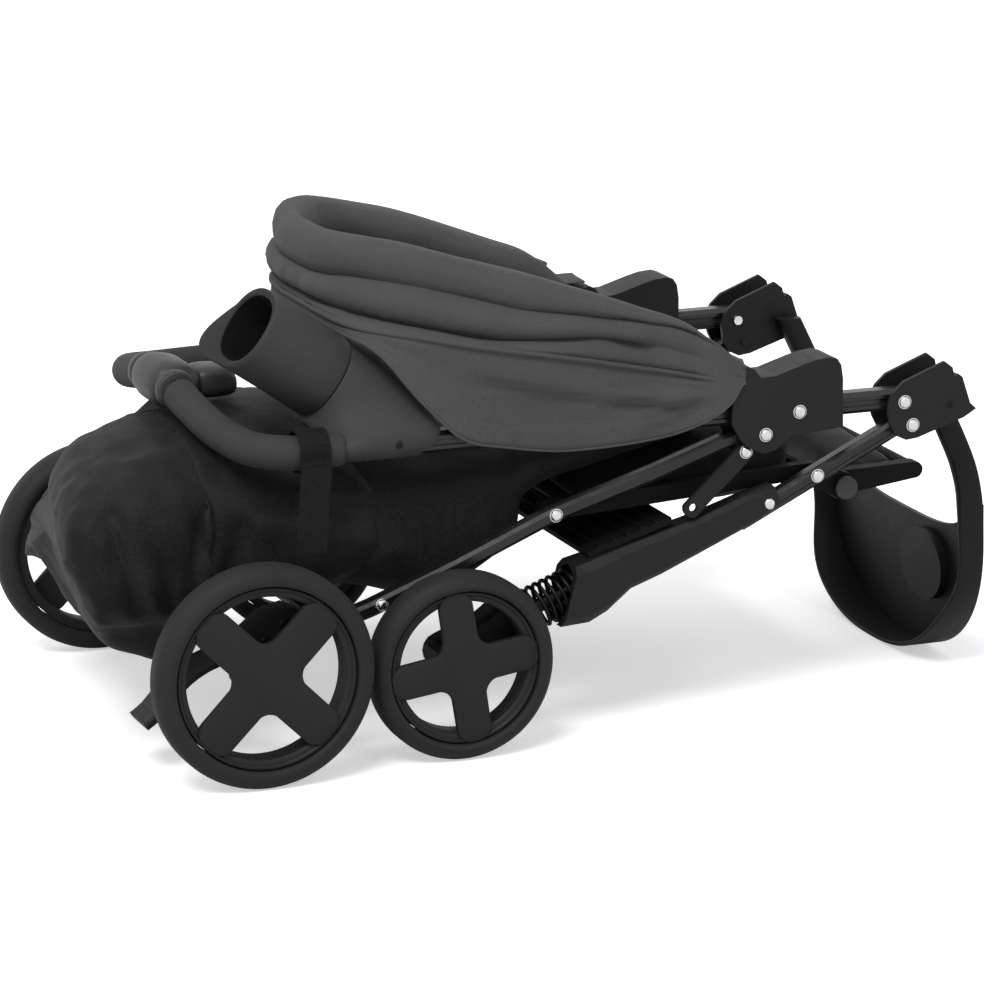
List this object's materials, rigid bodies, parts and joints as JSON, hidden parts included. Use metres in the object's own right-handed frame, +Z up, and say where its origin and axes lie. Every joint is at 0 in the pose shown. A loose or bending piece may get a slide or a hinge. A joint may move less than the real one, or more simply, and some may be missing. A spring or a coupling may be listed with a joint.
{
  "type": "folding pushchair",
  "caption": "Folded pushchair on foam wheels: linked frame, canopy, child tray, cup holder, basket and sprung front wheels.",
  "frame": {"origin": "middle of the folded pushchair's box, on the floor", "axes": "+X towards the child tray, the way the child would face; +Y to the child's left; +Z up"},
  "size_m": [0.801, 0.504, 0.43],
  "materials": {
    "black_plastic": "satin moulded",
    "black_tyre": "matte foam tyre",
    "wheel_plastic": "satin moulded",
    "black_tube": "powder coat, satin",
    "bright_steel": "bright plated",
    "spring_steel": "dark oiled steel",
    "grip_foam": "matte foam",
    "black_fabric": "woven, matte",
    "grey_fabric": "woven, matte",
    "grey_plastic": "fine matte texture"
  },
  "bodies": {
    "front_frame": {"hub_right": "black_plastic", "front_leg_right": "black_tube", "front_leg_housing_right": "black_plastic", "fold_pin_right": "bright_steel", "hub_left": "black_plastic", "front_leg_left": "black_tube", "front_leg_housing_left": "black_plastic", "fold_pin_left": "bright_steel", "front_footrest": "black_plastic", "child_tray": "black_plastic"},
    "handle_frame": {"handle_tube_right": "black_tube", "arm_bracket_right": "black_plastic", "rear_leg_pin_right": "bright_steel", "handle_grip_right": "grip_foam", "handle_tube_left": "black_tube", "arm_bracket_left": "black_plastic", "rear_leg_pin_left": "bright_steel", "handle_grip_left": "grip_foam", "handle_bow": "black_tube", "release_housing": "grey_plastic", "cup_holder": "grey_plastic", "cup_holder_clip": "grey_plastic", "canopy_skirt": "grey_fabric", "carry_strap": "black_fabric"},
    "rear_frame": {"rear_leg_right": "black_tube", "rear_axle_bracket_right": "black_plastic", "rear_leg_left": "black_tube", "rear_axle_bracket_left": "black_plastic", "rear_axle": "bright_steel", "rear_cross_tube": "black_tube", "back_rest": "black_fabric", "basket": "black_fabric"},
    "seat_frame": {"seat_frame": "black_tube", "seat_pad": "black_fabric"},
    "calf_rest": {"calf_frame": "black_plastic", "calf_pad": "black_fabric"},
    "calf_button_right": {"calf_button_right": "grey_plastic"},
    "calf_button_left": {"calf_button_left": "grey_plastic"},
    "canopy_front": {"canopy_front_roll": "grey_fabric", "canopy_bow_front": "black_plastic"},
    "canopy_middle": {"canopy_middle_roll": "grey_fabric"},
    "recline_arms": {"recline_arm_right": "black_tube", "recline_arm_left": "black_tube"},
    "brake": {"brake_pedal": "black_plastic"},
    "fold_release": {"release_lever": "grey_plastic"},
    "front_strut_right": {"front_stem_right": "bright_steel", "front_spring_right": "spring_steel", "front_wheel_arm_right": "black_plastic"},
    "front_wheel_right": {"front_tyre_right": "black_tyre", "front_rim_right": "wheel_plastic"},
    "rear_wheel_right": {"rear_tyre_right": "black_tyre", "rear_rim_right": "wheel_plastic"},
    "front_strut_left": {"front_stem_left": "bright_steel", "front_spring_left": "spring_steel", "front_wheel_arm_left": "black_plastic"},
    "front_wheel_left": {"front_tyre_left": "black_tyre", "front_rim_left": "wheel_plastic"},
    "rear_wheel_left": {"rear_tyre_left": "black_tyre", "rear_rim_left": "wheel_plastic"}
  },
  "joints": [
    {"name": "fold", "type": "hinge", "parent": "front_frame", "child": "handle_frame", "pos_m": [0.3074, 0, 0.2575], "axis": [0, 1, 0], "range_deg": [0, 149]},
    {"name": "rear_leg_fold", "type": "hinge", "parent": "handle_frame", "child": "rear_frame", "pos_m": [0.1815, 0, 0.2412], "axis": [0, 1, 0], "range_deg": [-101.2, 0]},
    {"name": "seat_fold", "type": "hinge", "parent": "front_frame", "child": "seat_frame", "pos_m": [0.2331, 0, 0.1988], "axis": [0, 1, 0], "range_deg": [0, 96.1]},
    {"name": "canopy_front_turn", "type": "hinge", "parent": "handle_frame", "child": "canopy_front", "pos_m": [0.163, 0, 0.2895], "axis": [0, 1, 0], "range_deg": [0, 85]},
    {"name": "canopy_middle_turn", "type": "hinge", "parent": "handle_frame", "child": "canopy_middle", "pos_m": [0.163, 0, 0.2895], "axis": [0, 1, 0], "range_deg": [0, 42.5]},
    {"name": "calf_rest_turn", "type": "hinge", "parent": "seat_frame", "child": "calf_rest", "pos_m": [0.266, 0, 0.182], "axis": [0, 1, 0], "range_deg": [0, 60]},
    {"name": "recline_turn", "type": "hinge", "parent": "rear_frame", "child": "recline_arms", "pos_m": [0.166, 0, 0.227], "axis": [0, 1, 0], "range_deg": [0, 25]},
    {"name": "brake_turn", "type": "hinge", "parent": "rear_frame", "child": "brake", "pos_m": [-0.271, 0, 0.0925], "axis": [0, 1, 0], "range_deg": [-22, 0]},
    {"name": "release_squeeze", "type": "slide", "parent": "handle_frame", "child": "fold_release", "axis": [-1, 0, 0], "range_m": [0, 0.006], "stiffness_N_per_m": 600, "springref_m": -0.003},
    {"name": "front_suspension_right", "type": "slide", "parent": "front_frame", "child": "front_strut_right", "axis": [0.9354, 0, 0.3535], "range_m": [0, 0.008], "stiffness_N_per_m": 3000, "springref_m": -0.02, "deforming": ["front_spring_right"]},
    {"name": "front_wheel_spin_right", "type": "hinge", "parent": "front_strut_right", "child": "front_wheel_right", "pos_m": [-0.0964, -0.217, 0.0785], "axis": [0, 1, 0], "continuous": true},
    {"name": "rear_wheel_spin_right", "type": "hinge", "parent": "rear_frame", "child": "rear_wheel_right", "pos_m": [-0.271, -0.235, 0.0925], "axis": [0, 1, 0], "continuous": true},
    {"name": "calf_button_press_right", "type": "slide", "parent": "seat_frame", "child": "calf_button_right", "axis": [0, 1, 0], "range_m": [0, 0.003], "stiffness_N_per_m": 500, "springref_m": -0.002},
    {"name": "front_suspension_left", "type": "slide", "parent": "front_frame", "child": "front_strut_left", "axis": [0.9354, 0, 0.3535], "range_m": [0, 0.008], "stiffness_N_per_m": 3000, "springref_m": -0.02, "deforming": ["front_spring_left"]},
    {"name": "front_wheel_spin_left", "type": "hinge", "parent": "front_strut_left", "child": "front_wheel_left", "pos_m": [-0.0964, 0.217, 0.0785], "axis": [0, 1, 0], "continuous": true},
    {"name": "rear_wheel_spin_left", "type": "hinge", "parent": "rear_frame", "child": "rear_wheel_left", "pos_m": [-0.271, 0.235, 0.0925], "axis": [0, 1, 0], "continuous": true},
    {"name": "calf_button_press_left", "type": "slide", "parent": "seat_frame", "child": "calf_button_left", "axis": [0, -1, 0], "range_m": [0, 0.003], "stiffness_N_per_m": 500, "springref_m": -0.002}
  ],
  "couplings": [
    {"joint": "rear_leg_fold", "follows": "fold", "ratio": -0.6785},
    {"joint": "seat_fold", "follows": "fold", "ratio": 0.6443},
    {"joint": "canopy_middle_turn", "follows": "canopy_front_turn", "ratio": 0.5}
  ]
}
